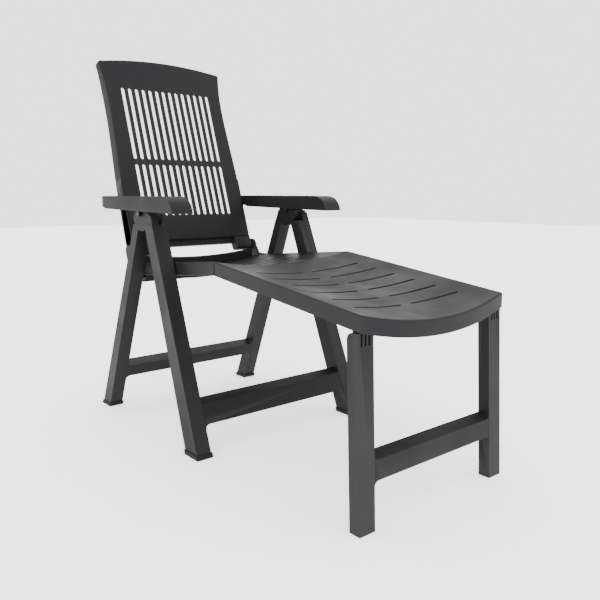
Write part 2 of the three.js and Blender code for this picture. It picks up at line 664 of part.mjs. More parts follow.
// The front view: parallel below, drawn in at the waist, flared to the top corners, arched on top.
function backOutline(inset) {
  const low = BACK_HALF_WIDTH - inset;
  const waist = BACK_WAIST_HALF_WIDTH - inset;
  const high = BACK_TOP_HALF_WIDTH - inset;
  const foot = inset - BACK_FOOT_DROP;
  const top = BACK_LENGTH - inset;
  const draw = BACK_WAIST_HEIGHT / 3;
  const flare = (BACK_LENGTH - BACK_WAIST_HEIGHT) / 2;
  const shape = new THREE.Shape();
  shape.moveTo(-low, foot);
  shape.lineTo(low, foot);
  shape.lineTo(low, draw);
  shape.bezierCurveTo(low, 2 * draw, waist, 2 * draw, waist, BACK_WAIST_HEIGHT);
  shape.quadraticCurveTo(waist, BACK_WAIST_HEIGHT + flare, high, top - BACK_CORNER);
  shape.quadraticCurveTo(high, top, high - BACK_CORNER, top + 1);
  shape.quadraticCurveTo(0, top + 2 * BACK_ARCH, -high + BACK_CORNER, top + 1);
  shape.quadraticCurveTo(-high, top, -high, top - BACK_CORNER);
  shape.quadraticCurveTo(-waist, BACK_WAIST_HEIGHT + flare, -waist, BACK_WAIST_HEIGHT);
  shape.bezierCurveTo(-waist, 2 * draw, -low, 2 * draw, -low, draw);
  return shape;
}

// The side view: the rim is deepest at the hinge and thin at the top.
function backRimSide() {
  const top = BACK_LENGTH + BACK_ARCH + 10;
  return polygon([
    [0, 0],
    [BACK_RIM_LOW, -BACK_FOOT_DROP],
    [BACK_RIM_MIDDLE, BACK_RIM_TAPER_LOW],
    [BACK_RIM_MIDDLE, BACK_RIM_TAPER_HIGH],
    [BACK_RIM_TOP, top],
    [0, top],
  ]);
}

function backSlots() {
  const cuts = [];
  for (const [low, high] of [BACK_SLOT_LOWER, BACK_SLOT_UPPER]) {
    for (let i = 0; i < BACK_SLOTS; i += 1) {
      const x = (i - (BACK_SLOTS - 1) / 2) * BACK_SLOT_PITCH;
      const half = BACK_SLOT_WIDTH / 2;
      cuts.push(block(x - half, x + half, -5, BACK_RIM_LOW, low, high));
    }
  }
  return union(cuts);
}

// The thick field that the slats are cut from, and the ribs round it.
function backRibs() {
  const side = ((BACK_SLOTS - 1) / 2) * BACK_SLOT_PITCH + BACK_SLOT_WIDTH / 2 + 8;
  const depth = BACK_RIM_TOP;
  const low = BACK_SLOT_LOWER[0] - 8;
  const high = BACK_SLOT_UPPER[1] + 8;
  const middle = (BACK_SLOT_LOWER[1] + BACK_SLOT_UPPER[0]) / 2;
  const ribs = [block(-side, side, 1, SLAT_THICKNESS, low, high)];
  ribs.push(bothSides(block(side, side + RIB, 1, depth, 1, BACK_LENGTH)));
  for (const z of [low, middle, high]) {
    ribs.push(block(1 - BACK_HALF_WIDTH, BACK_HALF_WIDTH - 1, 1, depth, z - RIB / 2, z + RIB / 2));
  }
  return union(ribs).intersect(frontPlate(backOutline(1), 0, BACK_RIM_LOW, 16));
}

function backLug() {
  const x1 = Math.min(SEAT_HALF_WIDTH - EAR_THICKNESS - 1.5, BACK_HALF_WIDTH);
  const hinge = inBack(HINGE);
  const shape = new THREE.Shape();
  shape.moveTo(6, 12);
  shape.lineTo(hinge.y - BACK_LUG_RADIUS + 8, 0);
  shape.lineTo(hinge.y - BACK_LUG_RADIUS, hinge.z);
  shape.absarc(hinge.y, hinge.z, BACK_LUG_RADIUS, Math.PI, 2 * Math.PI, false);
  shape.lineTo(hinge.y + BACK_LUG_RADIUS + 4, 12);
  return sidePlate(shape, BACK_LUG_INNER_X, x1, 16);
}

// The rail that joins the two lugs behind the foot of the face.
function backRail() {
  const half = BACK_LUG_INNER_X + 2;
  const rear = BACK_RAIL_FRONT + BACK_RAIL_DEPTH;
  return block(-half, half, BACK_RAIL_FRONT, rear, -BACK_RAIL_DROP, SHEET / 2);
}

// A boss on each side of the back that turns in the armrest.
function armBoss(at) {
  const radius = ARM_PIN_RADIUS + 7;
  const inside = crossPin(radius, BACK_HALF_WIDTH - 22, BACK_HALF_WIDTH - 1, at)
    .intersect(block(0, BACK_HALF_WIDTH, 1, BACK_RIM_MIDDLE, 0, BACK_LENGTH));
  return inside.add(crossPin(radius, BACK_HALF_WIDTH - SHEET, ARM_INNER_X - 2 * TOUCH_GAP, at));
}

function backrestBody() {
  const arm = inBack(ARM_PIVOT);
  const hinge = inBack(HINGE);
  const rim = sidePlate(backRimSide(), -BACK_TOP_HALF_WIDTH - 10, BACK_TOP_HALF_WIDTH + 10);
  const skin = frontPlate(backOutline(0), 0, BACK_RIM_LOW, 16).intersect(rim);
  const hollow = frontPlate(backOutline(SHEET), SHEET, BACK_RIM_LOW + 5, 16);
  const body = union(
    [skin.subtract(hollow.subtract(backRibs())), backRail(), bothSides(backLug()), bothSides(armBoss(arm))]
  );
  return leanedBack(without(body, [
    backSlots(),
    bothSides(crossPin(HINGE_PIN_RADIUS + RUNNING_GAP, BACK_HALF_WIDTH - 28, SEAT_HALF_WIDTH + 7, hinge)),
    bothSides(crossPin(ARM_PIN_RADIUS + RUNNING_GAP, BACK_HALF_WIDTH - 20, BACK_HALF_WIDTH + 25, arm)),
  ]));
}

// ---- Armrests --------------------------------------------------------------------------------
function armSide(inset, topInset, endInset) {
  const under = ARM_UNDER_Z + (inset ? -10 : 0);
  const top = ARM_UNDER_Z + ARM_HEIGHT - topInset;
  const front = ARM_FRONT_Y + inset;
  const rear = ARM_REAR_Y - endInset;
  const shape = new THREE.Shape();
  shape.moveTo(front, under);
  shape.lineTo(rear - 50, under + (inset ? 0 : 7));
  shape.lineTo(rear, under + (inset ? 0 : 20));
  shape.lineTo(rear, top);
  shape.lineTo(front + ARM_NOSE, top);
  shape.quadraticCurveTo(front + 8, top - 2, front, under);
  return shape;
}

function armPlan() {
  const outer = ARM_INNER_X + ARM_WIDTH;
  const shape = new THREE.Shape();
  shape.moveTo(ARM_INNER_X, ARM_FRONT_Y - 5);
  shape.lineTo(outer, ARM_FRONT_Y - 5);
  shape.lineTo(outer, ARM_REAR_Y - 45);
  shape.quadraticCurveTo(outer, ARM_REAR_Y, outer - 42, ARM_REAR_Y);
  shape.lineTo(ARM_INNER_X, ARM_REAR_Y);
  return shape;
}

// The toothed strip that drops over the end of the apex pin, one notch for each back position.
function armRack() {
  const tip = APEX.z + APEX_PIN_RADIUS + 0.6;
  const ceiling = ARM_UNDER_Z + ARM_HEIGHT - ARM_WALL / 2;
  const x1 = ARM_INNER_X + ARM_WIDTH - ARM_WALL / 2;
  const x0 = ARM_INNER_X + ARM_WIDTH - ARM_WALL - RACK_THICKNESS;
  const start = APEX.y - RACK_PITCH * (RACK_NOTCHES - 0.5);
  const strip = block(x0, x1, start, APEX.y + RACK_PITCH / 2, tip, ceiling);
  const notches = [];
  for (let i = 0; i < RACK_NOTCHES; i += 1) {
    notches.push(
      crossPin(APEX_PIN_RADIUS + 0.6, x0 - 5, x1 - ARM_WALL / 2, { y: APEX.y - i * RACK_PITCH, z: tip + 1 }, 16)
    );
  }
  return without(strip, notches);
}

function armrestBody() {
  const x0 = ARM_INNER_X;
  const x1 = ARM_INNER_X + ARM_WIDTH;
  const outer = sidePlate(armSide(0, 0, 0), x0, x1, 10).intersect(planPlate(armPlan(), 600, 700, 10));
  const hollow = sidePlate(armSide(ARM_WALL, ARM_WALL, 50), x0 + ARM_WALL, x1 - ARM_WALL, 10);
  const boss = crossPin(ARM_PIN_RADIUS + 8, x0 + 1, x0 + 16, ARM_PIVOT)
    .intersect(block(x0, x1, 400, ARM_REAR_Y - 1, ARM_UNDER_Z + 6, ARM_UNDER_Z + ARM_HEIGHT - 1));
  const tail = sidePlate(armSide(ARM_WALL, ARM_WALL, ARM_WALL), x0 + ARM_WALL, x1 - ARM_WALL, 10)
    .intersect(block(x0, x1, ARM_REAR_Y - 46, ARM_REAR_Y + 5, 600, 700))
    .intersect(planPlate(armPlan(), 600, 700, 10).translate([-ARM_WALL, -ARM_WALL, 0]));
  const body = without(outer, [hollow, tail]);
  return union([body, armRack(), boss]).subtract(
    crossPin(ARM_PIN_RADIUS + RUNNING_GAP, x0 - 5, x0 + 13, ARM_PIVOT));
}

// ---- Pins ------------------------------------------------------------------------------------
function pinnedPieces() {
  const apexEnd = ARM_INNER_X + ARM_WIDTH - ARM_WALL - TOUCH_GAP;
  return [
    ...namedPair('leg_apex_pin', crossPin(APEX_PIN_RADIUS, hubInnerX - 1.5, apexEnd, APEX), STEEL),
    ...namedPair('seat_pivot_pin',
      crossPin(PIVOT_PIN_RADIUS, SEAT_HALF_WIDTH - 11.5, SEAT_HALF_WIDTH + 24, SEAT_PIVOT), STEEL),
    ...namedPair(
      'seat_rest_peg', crossPin(PEG_RADIUS, SEAT_HALF_WIDTH - 9, SEAT_HALF_WIDTH + 22, REST_PEG), STEEL
    ),
    ...namedPair(
      'backrest_hinge_pin', crossPin(HINGE_PIN_RADIUS, BACK_HALF_WIDTH - 15, SEAT_HALF_WIDTH - 3.5, HINGE), STEEL
    ),
    ...namedPair(
      'armrest_pin', crossPin(ARM_PIN_RADIUS, BACK_HALF_WIDTH - 19.5, ARM_INNER_X + 12.5, ARM_PIVOT), STEEL
    ),
    ...namedPair('footrest_leg_pin',
      crossPin(FOOTREST_PIN_RADIUS, SEAT_HALF_WIDTH - 41, SEAT_HALF_WIDTH - 4.5, FOOTREST_PIVOT), STEEL),
  ];
}

// ---- The lounger -----------------------------------------------------------------------------
const lounger = new THREE.Group();
lounger.name = 'sun_lounger';
lounger.add(named('seat', seatBody(), RESIN));
lounger.add(named('backrest', backrestBody(), RESIN));
lounger.add(named('footrest', footrestBody(), RESIN));
lounger.add(named('front_leg_frame', frontLegFrame(), RESIN));
lounger.add(named('rear_leg_frame', rearLegFrame(), RESIN));
lounger.add(named('footrest_leg_frame', footrestLegFrame(), RESIN));
lounger.add(...namedPair('armrest', armrestBody(), RESIN));
lounger.add(...namedPair('front_foot', legFoot(FRONT_LEG), DARK_RESIN));
lounger.add(...namedPair('rear_foot', legFoot(REAR_LEG), DARK_RESIN));
lounger.add(...pinnedPieces());

// The origin is the middle of the lounger's length, on the floor.
const extent = new THREE.Box3().setFromObject(lounger);
lounger.position.y = -(extent.min.y + extent.max.y) / 2;

export default lounger;
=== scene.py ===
"""Looks for a folding resin sun lounger with a hook-on footrest."""

from __future__ import annotations

import json
import logging
import math
from dataclasses import dataclass
from enum import Enum
from typing import Callable

import bmesh
import bpy
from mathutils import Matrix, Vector

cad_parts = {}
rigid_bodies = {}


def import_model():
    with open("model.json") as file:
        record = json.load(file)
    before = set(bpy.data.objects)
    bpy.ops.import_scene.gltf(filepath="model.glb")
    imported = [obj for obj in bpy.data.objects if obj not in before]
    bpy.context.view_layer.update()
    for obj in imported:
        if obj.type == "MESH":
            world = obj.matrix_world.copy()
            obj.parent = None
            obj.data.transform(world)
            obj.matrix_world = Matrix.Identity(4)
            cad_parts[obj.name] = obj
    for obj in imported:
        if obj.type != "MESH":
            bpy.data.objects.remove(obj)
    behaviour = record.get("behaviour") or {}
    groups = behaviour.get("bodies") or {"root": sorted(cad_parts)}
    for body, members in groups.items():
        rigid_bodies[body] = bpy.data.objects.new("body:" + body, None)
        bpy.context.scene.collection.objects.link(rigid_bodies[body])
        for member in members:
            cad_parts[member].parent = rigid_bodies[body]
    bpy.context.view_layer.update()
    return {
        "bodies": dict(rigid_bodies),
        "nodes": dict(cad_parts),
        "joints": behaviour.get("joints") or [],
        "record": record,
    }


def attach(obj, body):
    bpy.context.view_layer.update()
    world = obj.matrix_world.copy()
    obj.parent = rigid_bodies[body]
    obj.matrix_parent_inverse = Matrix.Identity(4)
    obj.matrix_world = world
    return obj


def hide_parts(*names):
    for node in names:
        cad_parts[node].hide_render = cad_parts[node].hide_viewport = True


LOG = logging.getLogger("sun_lounger")
MM = 0.001
SEAT_FRONT = -98.0 * MM
SEAT_FRONT_TOP = 509.6 * MM
SEAT_FALL = 0.089
SKIN_SAG = 27.0 * MM
FOOTREST_GAP = 3.5 * MM
BEYOND_THE_REAR = 9.0
SEAT_BOW = 36.0 * MM
FOOTREST_BOW = 18.0 * MM
FOOTREST_LENGTH = 515.5 * MM
FOOTREST_FALL = 0.118
EdgeTest = Callable[[bmesh.types.BMEdge], bool]


class Surface(Enum):
    """The grain a moulded piece shows."""

    SEAT_FACE = "seat_face"
    FRAME = "frame"
    FOOT = "foot"


@dataclass(frozen=True)
class MouldedResin:
    """Matt coloured resin with a fine leather grain, faint flow marks and a painted highlight that makes
    the sharp convex edges paler.
    """

    name: str
    colour: tuple[float, float, float]
    # The paler colour painted on convex edges as a highlight.
    edge_highlight_colour: tuple[float, float, float]
    roughness: tuple[float, float] = (0.42, 0.6)
    grain_scale: float = 900.0
    grain_depth: float = 0.00012
    speckle: float = 0.06

    def material(self) -> bpy.types.Material:
        """Builds the node material.

        Returns:
            The finished material.
        """
        mat = bpy.data.materials.new(self.name)
        mat.use_nodes = True
        tree = mat.node_tree
        nodes, links = tree.nodes, tree.links
        shader = nodes["Principled BSDF"]
        coords = nodes.new("ShaderNodeTexCoord")
        cloud = nodes.new("ShaderNodeTexNoise")
        cloud.inputs["Scale"].default_value = 9.0
        cloud.inputs["Detail"].default_value = 4.0
        links.new(coords.outputs["Object"], cloud.inputs["Vector"])
        speck = nodes.new("ShaderNodeTexNoise")
        speck.inputs["Scale"].default_value = 420.0
        speck.inputs["Detail"].default_value = 3.0
        links.new(coords.outputs["Object"], speck.inputs["Vector"])
        shade = nodes.new("ShaderNodeValToRGB")
        low = tuple(c * (1.0 - self.speckle * 2) for c in self.colour)
        high = tuple(c * (1.0 + self.speckle * 2) for c in self.colour)
        shade.color_ramp.elements[0].position = 0.3
        shade.color_ramp.elements[0].color = (*low, 1.0)
        shade.color_ramp.elements[1].position = 0.7
        shade.color_ramp.elements[1].color = (*high, 1.0)
        blend = nodes.new("ShaderNodeMix")
        blend.data_type = "FLOAT"
        blend.inputs["Factor"].default_value = 0.45
        links.new(cloud.outputs["Fac"], blend.inputs["A"])
        links.new(speck.outputs["Fac"], blend.inputs["B"])
        links.new(blend.outputs["Result"], shade.inputs["Fac"])
        # Painted highlight: edges with high pointiness are mixed towards a paler colour.
        edge = nodes.new("ShaderNodeNewGeometry")
        edge_highlight_mask = nodes.new("ShaderNodeMapRange")
        edge_highlight_mask.inputs["From Min"].default_value = 0.52
        edge_highlight_mask.inputs["From Max"].default_value = 0.6
        edge_highlight_mask.inputs["To Max"].default_value = 0.5
        links.new(edge.outputs["Pointiness"], edge_highlight_mask.inputs["Value"])
        paint = nodes.new("ShaderNodeMix")
        paint.data_type = "RGBA"
        links.new(edge_highlight_mask.outputs["Result"], paint.inputs["Factor"])
        links.new(shade.outputs["Color"], paint.inputs["A"])
        paint.inputs["B"].default_value = (*self.edge_highlight_colour, 1.0)
        links.new(paint.outputs["Result"], shader.inputs["Base Color"])
        rough = nodes.new("ShaderNodeMapRange")
        rough.inputs["From Min"].default_value = 0.3
        rough.inputs["From Max"].default_value = 0.7
        rough.inputs["To Min"].default_value = self.roughness[0]
        rough.inputs["To Max"].default_value = self.roughness[1]
        links.new(cloud.outputs["Fac"], rough.inputs["Value"])
        links.new(rough.outputs["Result"], shader.inputs["Roughness"])
        grain = nodes.new("ShaderNodeTexVoronoi")
        grain.feature = "SMOOTH_F1"
        grain.inputs["Scale"].default_value = self.grain_scale
        links.new(coords.outputs["Object"], grain.inputs["Vector"])
        bump = nodes.new("ShaderNodeBump")
        bump.inputs["Strength"].default_value = 0.35
        bump.inputs["Distance"].default_value = self.grain_depth
        links.new(grain.outputs["Distance"], bump.inputs["Height"])
        flow = nodes.new("ShaderNodeBump")
        flow.inputs["Strength"].default_value = 0.12
        flow.inputs["Distance"].default_value = 0.004
        links.new(cloud.outputs["Fac"], flow.inputs["Height"])
        links.new(flow.outputs["Normal"], bump.inputs["Normal"])
        links.new(bump.outputs["Normal"], shader.inputs["Normal"])
        shader.inputs["Specular IOR Level"].default_value = 0.1
        return mat


@dataclass(frozen=True)
class BlackSteel:
    """Blackened steel, turned, with fine scratches round the pin."""

    name: str = "blackened_steel"
    colour: tuple[float, float, float] = (0.028, 0.029, 0.032)

    def material(self) -> bpy.types.Material:
        """Builds the node material.

        Returns:
            The finished material.
        """
        mat = bpy.data.materials.new(self.name)
        mat.use_nodes = True
        tree = mat.node_tree
        nodes, links = tree.nodes, tree.links
        shader = nodes["Principled BSDF"]
        shader.inputs["Metallic"].default_value = 1.0
        coords = nodes.new("ShaderNodeTexCoord")
        stretch = nodes.new("ShaderNodeMapping")
        stretch.inputs["Scale"].default_value = (3.0, 0.2, 0.2)
        links.new(coords.outputs["Object"], stretch.inputs["Vector"])
        noise = nodes.new("ShaderNodeTexNoise")
        noise.inputs["Scale"].default_value = 900.0
        links.new(stretch.outputs["Vector"], noise.inputs["Vector"])
        tint = nodes.new("ShaderNodeValToRGB")
        tint.color_ramp.elements[0].color = (*(c * 0.75 for c in self.colour), 1.0)
        tint.color_ramp.elements[1].color = (*(c * 1.2 for c in self.colour), 1.0)
        links.new(noise.outputs["Fac"], tint.inputs["Fac"])
        links.new(tint.outputs["Color"], shader.inputs["Base Color"])
        rough = nodes.new("ShaderNodeMapRange")
        rough.inputs["To Min"].default_value = 0.25
        rough.inputs["To Max"].default_value = 0.5
        links.new(noise.outputs["Fac"], rough.inputs["Value"])
        links.new(rough.outputs["Result"], shader.inputs["Roughness"])
        bump = nodes.new("ShaderNodeBump")
        bump.inputs["Strength"].default_value = 0.2
        bump.inputs["Distance"].default_value = 0.0001
        links.new(noise.outputs["Fac"], bump.inputs["Height"])
        links.new(bump.outputs["Normal"], shader.inputs["Normal"])
        return mat


# Each finish's second colour is the painted highlight put on convex edges.
FINISHES: dict[Surface, MouldedResin] = {
    Surface.SEAT_FACE: MouldedResin("anthracite_face", (0.0115, 0.0106, 0.0118), (0.034, 0.033, 0.035)),
    Surface.FRAME: MouldedResin("anthracite_frame", (0.0098, 0.0094, 0.0101), (0.03, 0.029, 0.031)),
    Surface.FOOT: MouldedResin("foot_resin", (0.0075, 0.0075, 0.0078), (0.022, 0.022, 0.022), (0.5, 0.7)),
}


@dataclass(frozen=True)
class Rim:
    """A set of sharp edges that share one large rounding."""

    test: EdgeTest
    radius_mm: float
    segments: int = 4

    def round(self, bm: bmesh.types.BMesh) -> None:
        """Rounds the edges that pass the test.

        Args:
            bm: The mesh, changed in place.
        """
        bm.normal_update()
        edges = [e for e in bm.edges if e.is_manifold and e.calc_face_angle() > 0.7 and self.test(e)]
        if not edges:
            LOG.warning("a rim found no edges")
            return
        bmesh.ops.bevel(
            bm,
            geom=edges,
            offset=self.radius_mm * MM,
            offset_type="OFFSET",
            segments=self.segments,
            profile=0.5,
            affect="EDGES",
            clamp_overlap=True,
            material=-1,
        )
        LOG.info("rounded %d edges by %.1f mm", len(edges), self.radius_mm)


@dataclass(frozen=True)
class Dish:
    """The dished top of the seat or the footrest."""

    half_width: float
    sag: float
    fall: float
    height_at_origin: float

    def on_top(self, edge: bmesh.types.BMEdge) -> bool:
        """Says whether both ends of an edge lie on the top surface.

        Args:
            edge: The edge.

        Returns:
            True when it does.
        """
        return all(abs(v.co.z - self.height(v.co.x, v.co.y)) < 0.0006 for v in edge.verts)

    def height(self, x: float, y: float) -> float:
        """Gives the height of the top surface.

        Args:
            x: Across the lounger, metres.
            y: Along the lounger, metres.

        Returns:
            The height in metres.
        """
        return self.height_at_origin + self.fall * y - self.sag * (1.0 - (x / self.half_width) ** 2)


@dataclass(frozen=True)
class BackPlane:
    """The flat front face of the backrest."""

    lean: float
    offset: float
    foot: float

    @classmethod
    def of(cls, mesh: bpy.types.Mesh, lean_degrees: float) -> "BackPlane":
        """Finds the face of a backrest.

        Args:
            mesh: The backrest's mesh.
            lean_degrees: How far it leans back.

        Returns:
            The plane.
        """
        lean = math.radians(lean_degrees)
        normal = Vector((0.0, -math.cos(lean), math.sin(lean)))
        along = Vector((0.0, math.sin(lean), math.cos(lean)))
        offset = max(normal.dot(v.co) for v in mesh.vertices if v.co.z > 0.7)
        face = [v.co for v in mesh.vertices if abs(normal.dot(v.co) - offset) < 0.0002 and v.co.z > 0.525]
        return cls(lean, offset, min(along.dot(co) for co in face))

    def place(self, point: Vector) -> tuple[float, float, float]:
        """Gives a point's place across the back, behind its face and up its face.

        Args:
            point: The point, metres.

        Returns:
            The three distances in millimetres.
        """
        normal = Vector((0.0, -math.cos(self.lean), math.sin(self.lean)))
        along = Vector((0.0, math.sin(self.lean), math.cos(self.lean)))
        return (point.x / MM, (self.offset - normal.dot(point)) / MM, (along.dot(point) - self.foot) / MM)

    def up(self) -> Vector:
        """Gives the direction up the face.

        Returns:
            A unit vector.
        """
        return Vector((0.0, math.sin(self.lean), math.cos(self.lean)))

    def point(self, across: float, behind: float, up: float) -> Vector:
        """Gives the point at a place on the back.

        Args:
            across: Millimetres to the sitter's left.
            behind: Millimetres behind the face.
            up: Millimetres up the face.

        Returns:
            The point in metres.
        """
        normal = Vector((0.0, -math.cos(self.lean), math.sin(self.lean)))
        along = Vector((0.0, math.sin(self.lean), math.cos(self.lean)))
        place = normal * (self.offset - behind * MM) + along * (self.foot + up * MM)
        return Vector((across * MM, place.y, place.z))


@dataclass(frozen=True)
class BackShape:
    """The outline, rim and slots of the backrest, in millimetres."""

    plane: BackPlane
    half: float = 218.0
    waist: float = 208.5
    flare: float = 12.5
    length: float = 588.0
    arch: float = 17.5
    slots: int = 14
    pitch: float = 23.8
    slot_width: float = 12.5
    rows: tuple[tuple[float, float], ...] = ((81.0, 250.5), (267.0, 505.0))
    skin: float = 5.5
    rim: float = 18.0

    def slot_middles(self) -> list[float]:
        """Lists the slots' places across the back.

        Returns:
            The middles of the slots.
        """
        return [(i - (self.slots - 1) / 2) * self.pitch for i in range(self.slots)]

    def columns(self) -> list[float]:
        """Lists the grid lines across the back.

        Returns:
            The lines, rising.
        """
        lines = [-self.half, -205.0, -190.0, -175.0, 175.0, 190.0, 205.0, self.half]
        for x in self.slot_middles():
            lines += [x - self.slot_width / 2, x, x + self.slot_width / 2]
        return sorted(lines)

    def levels(self) -> list[float]:
        """Lists the grid lines up the back.

        Returns:
            The lines, rising.
        """
        end = self.slot_width / 2
        lines = [0.0, 25.0, 55.0, 520.0, 535.0, 550.0, 564.0, 577.0, self.length]
        for low, high in self.rows:
            steps = 6
            first, last = low + end, high - end
            lines += [low, high] + [first + (last - first) * i / steps for i in range(steps + 1)]
        return sorted(lines)

    def half_width(self, up: float) -> float:
        """Gives half the width at a height.

        Args:
            up: The height up the face.

        Returns:
            Half the width.
        """
        if up > 452.0:
            return self.waist + self.flare * min(1.0, (up - 452.0) / 128.0) ** 2
        s = min(1.0, max(0.0, (up - 150.7) / 301.3))
        return self.half - (self.half - self.waist) * s * s * (3.0 - 2.0 * s)

    def rim_depth(self, up: float) -> float:
        """Gives the depth of the rim at a height.

        Args:
            up: The height up the face.

        Returns:
            The depth.
        """
        if up < 300.0:
            return 48.0 - 8.5 * max(0.0, up) / 300.0
        return 39.5 - 21.5 * max(0.0, up - 490.0) / 126.0

    def placed(self, across: float, up: float) -> Vector:
        """Bends a grid place to the outline.

        Args:
            across: The grid line across.
            up: The grid line up.

        Returns:
            The point on the face, metres.
        """
        field = 170.0
        x = across
        if abs(across) > field:
            share = (abs(across) - field) / (self.half - field)
            x = math.copysign(field + share * (self.half_width(up) - field), across)
        ramp = max(0.0, (up - 520.0) / (self.length - 520.0))
        lift = (1.0 + self.arch * (1.0 - min(1.0, abs(x) / 213.0) ** 2)) * ramp
        return self.plane.point(x, 0.0, up + lift)

    def in_slot(self, across: float, up: float) -> bool:
        """Says whether a grid cell belongs to a slot.

        Args:
            across: The cell's middle across.
            up: The cell's middle up.

        Returns:
            True when it does.
        """
        row = any(low < up < high for low, high in self.rows)
        return row and any(abs(across - x) < self.slot_width / 2 for x in self.slot_middles())

    def panel(self) -> bmesh.types.BMesh:
        """Builds the slotted face with its rim.

        Returns:
            The open shell.
        """
        columns, levels = self.columns(), self.levels()
        bm = bmesh.new()
        bmesh.ops.create_grid(bm, x_segments=len(columns) - 1, y_segments=len(levels) - 1, size=0.5)
        for vert in bm.verts:
            i = round((vert.co.x + 0.5) * (len(columns) - 1))
            j = round((vert.co.y + 0.5) * (len(levels) - 1))
            vert.co = (columns[i], levels[j], 0.0)
        cells = [f for f in bm.faces if self.in_slot(*f.calc_center_median().xy)]
        bmesh.ops.delete(bm, geom=cells, context="FACES")
        self._round_slot_ends(bm)
        rim = [e for e in bm.edges if e.is_boundary and self._outer(e)]
        for vert in bm.verts:
            vert.co = self.placed(vert.co.x, vert.co.y)
        walls = bmesh.ops.extrude_edge_only(bm, edges=rim)["geom"]
        for vert in (v for v in walls if isinstance(v, bmesh.types.BMVert)):
            x, _, up = self.plane.place(vert.co)
            drop = 8.0 if up < 0.5 else 0.0
            vert.co = self.plane.point(x, self.rim_depth(up), up - drop)
        bmesh.ops.recalc_face_normals(bm, faces=bm.faces)
        self._face_forward(bm)
        Rim(self._top_corner, 8.0, 4).round(bm)
        Rim(self._on_face, 4.0, 4).round(bm)
        return bm

    def _outer(self, edge: bmesh.types.BMEdge) -> bool:
        """Says whether a grid edge lies on the outline, before bending."""
        sides = all(abs(abs(v.co.x) - self.half) < 0.01 for v in edge.verts)
        foot = all(abs(v.co.y) < 0.01 for v in edge.verts)
        top = all(abs(v.co.y - self.length) < 0.01 for v in edge.verts)
        return sides or foot or top

    def _round_slot_ends(self, bm: bmesh.types.BMesh) -> None:
        """Draws the corners of the slots in, so that their ends are round."""
        radius = self.slot_width / 2
        ends = {end: (1.0 if end == low else -1.0) for low, high in self.rows for end in (low, high)}
        for vert in bm.verts:
            for end, way in ends.items():
                if abs(vert.co.y - end) > 0.01:
                    continue
                for x in self.slot_middles():
                    if abs(abs(vert.co.x - x) - radius) < 0.01:
                        vert.co.x = x + math.copysign(radius * 0.72, vert.co.x - x)
                        vert.co.y = end + way * radius * 0.3
                        break
                break

    def _face_forward(self, bm: bmesh.types.BMesh) -> None:
        """Turns the normals outwards when they point into the back."""
        bm.faces.ensure_lookup_table()
        face = min(bm.faces, key=lambda f: self.plane.place(f.calc_center_median())[1])
        if face.normal.y > 0.0:
            bmesh.ops.reverse_faces(bm, faces=bm.faces)

    def _top_corner(self, edge: bmesh.types.BMEdge) -> bool:
        """Says whether an edge is one of the two that run back from the top corners."""
        (x0, y0, z0), (x1, y1, z1) = (self.plane.place(v.co) for v in edge.verts)
        return abs(y0 - y1) > 5.0 and abs(x0 - x1) < 1.0 and min(z0, z1) > 560.0 and abs(x0) > 200.0

    def _on_face(self, edge: bmesh.types.BMEdge) -> bool:
        """Says whether an edge lies on the front face."""
        return all(abs(self.plane.place(v.co)[1]) < 0.2 for v in edge.verts)

    def ribs(self) -> bmesh.types.BMesh:
        """Builds the ribs behind the face.

        Returns:
            The ribs.
        """
        side = self.slot_middles()[-1] + self.slot_width / 2 + 9.5
        (low, low_end), (high_start, high) = self.rows
        bm = bmesh.new()
        for x in (-side, side):
            self._bar(bm, (x - 1.5, x + 1.5), (3.0, self.length - 12.0))
        for up in (low - 8.0, (low_end + high_start) / 2, high + 8.0):
            reach = self.half_width(up) - 3.0
            self._bar(bm, (-reach, reach), (up - 1.5, up + 1.5))
        bmesh.ops.recalc_face_normals(bm, faces=bm.faces)
        return bm

    def _bar(self, bm: bmesh.types.BMesh, across: tuple[float, float], up: tuple[float, float]) -> None:
        """Adds one straight rib.

        Args:
            bm: The mesh to add to.
            across: Its two sides.
            up: Its two ends.
        """
        made = bmesh.ops.create_cube(bm, size=1.0)["verts"]
        for vert in made:
            x = across[0] if vert.co.x < 0 else across[1]
            z = up[0] if vert.co.z < 0 else up[1]
            y = self.skin - 1.0 if vert.co.y < 0 else self.rim - 1.0
            vert.co = self.plane.point(x, y, z)


